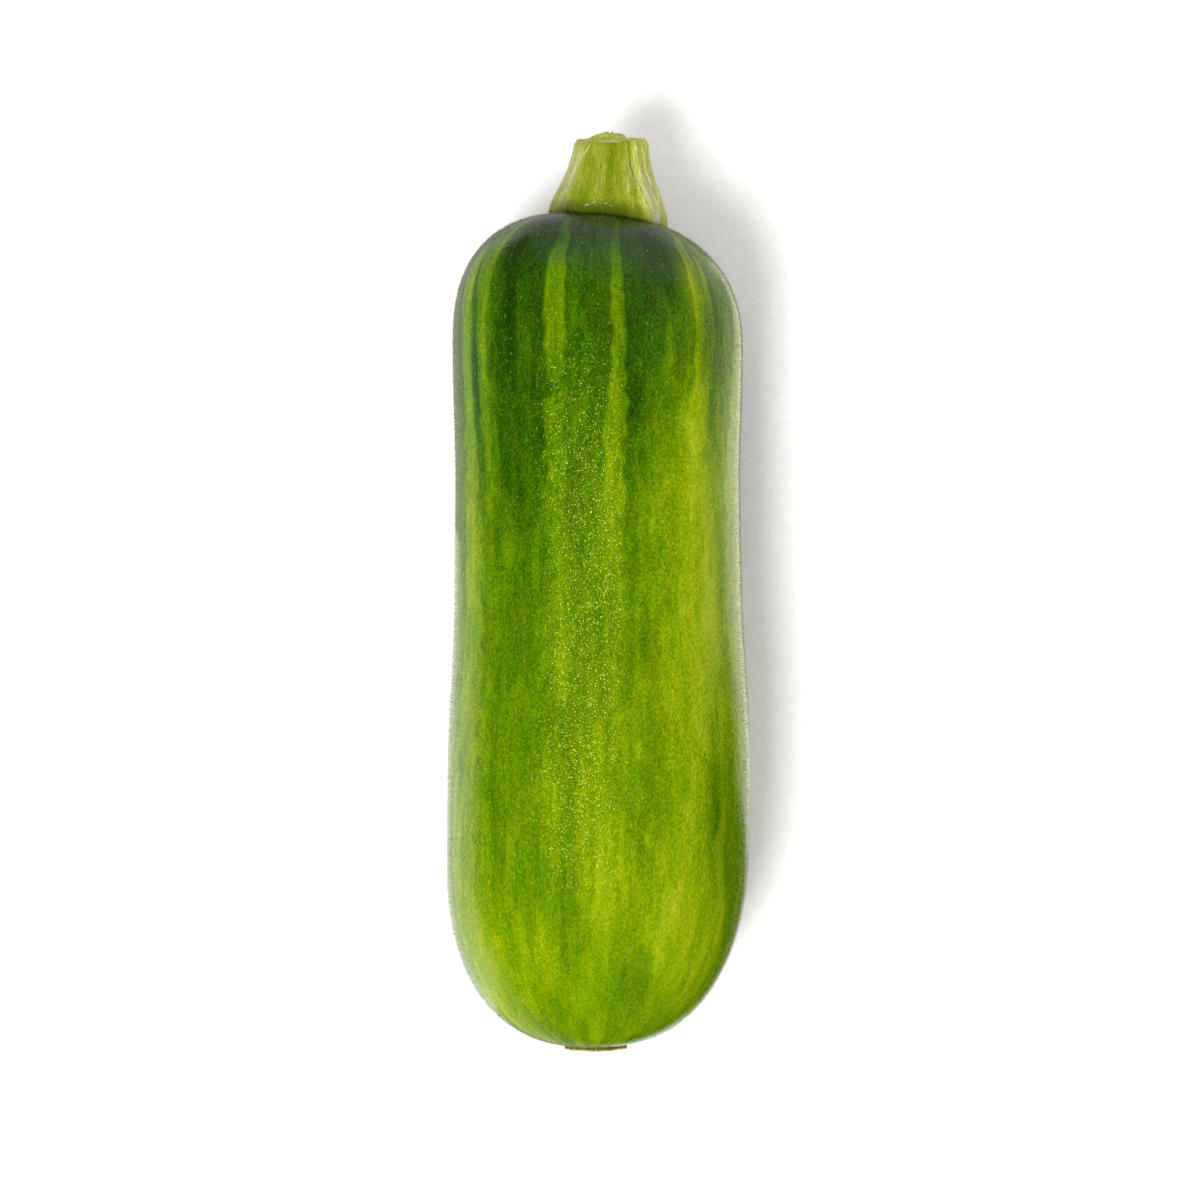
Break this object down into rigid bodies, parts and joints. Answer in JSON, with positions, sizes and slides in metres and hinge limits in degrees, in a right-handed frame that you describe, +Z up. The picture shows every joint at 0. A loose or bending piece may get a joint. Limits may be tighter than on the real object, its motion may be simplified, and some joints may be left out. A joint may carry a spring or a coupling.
{
  "type": "courgette",
  "caption": "Plump green courgette lying on its side, with a short five-ridged cut stem at one end and a thin dry flower scar at the other.",
  "frame": {"origin": "on the surface that the courgette lies on, under the middle of its length and width", "axes": "+Y along the fruit towards the stem, +Z up from the surface, +X across"},
  "size_m": [0.0606, 0.1842, 0.0575],
  "materials": {
    "skin": "satin, waxy green skin with yellow-green stripes and pale pores",
    "stem": "matt, fibrous yellow-green",
    "scar": "matt, dry and corky"
  },
  "bodies": {
    "root": {"fruit": "skin", "stem": "stem", "flower_scar": "scar"}
  },
  "joints": []
}
